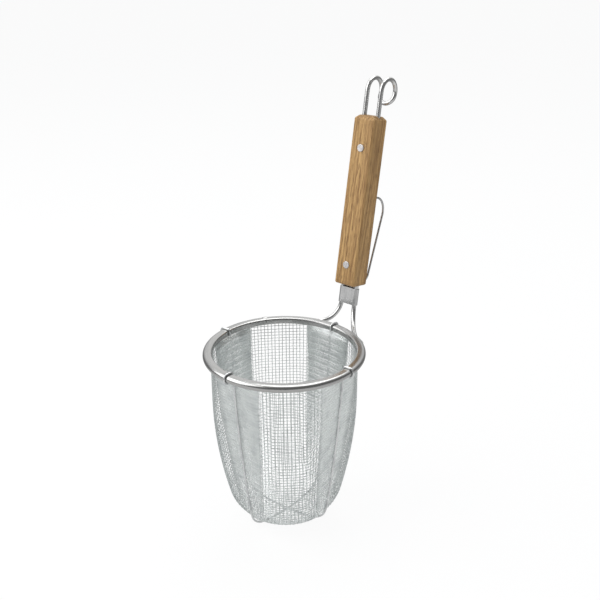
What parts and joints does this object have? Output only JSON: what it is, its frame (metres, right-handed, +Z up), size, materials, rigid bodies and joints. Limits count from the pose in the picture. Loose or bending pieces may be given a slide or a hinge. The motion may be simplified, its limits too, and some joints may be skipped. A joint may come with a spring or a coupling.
{
  "type": "noodle strainer",
  "caption": "Deep woven wire strainer with a rolled rim, a bent wire stem, a riveted wooden grip, a hanging hook and a sprung clip for the edge of a pot.",
  "frame": {"origin": "middle of the foot, at the underside of the lower rib wire where the ribs cross", "axes": "+Z up along the cup's axis, +Y from the cup towards the handle, +X to the right seen from behind the handle"},
  "size_m": [0.1454, 0.2226, 0.3853],
  "materials": {
    "mesh_steel": "woven bright wire",
    "wire_steel": "bright drawn wire",
    "band_steel": "bright rolled sheet",
    "spring_steel": "bright drawn wire",
    "rivet_steel": "satin",
    "grip_wood": "smooth bare wood, straight grain"
  },
  "bodies": {
    "strainer": {"basket_mesh": "mesh_steel", "rim_core_wire": "wire_steel", "rim_channel": "band_steel", "long_rib_wire": "wire_steel", "cross_rib_wire": "wire_steel", "stem_hook_wire": "wire_steel", "stem_clasp": "band_steel", "grip_front_half": "grip_wood", "grip_back_half": "grip_wood", "grip_rivets": "rivet_steel"},
    "clip": {"pot_clip": "spring_steel"}
  },
  "joints": [
    {"name": "clip_flex", "type": "hinge", "parent": "strainer", "child": "clip", "pos_m": [0, 0.11679, 0.2796], "axis": [1, 0, 0], "range_deg": [0, 6], "stiffness_Nm_per_rad": 5}
  ]
}
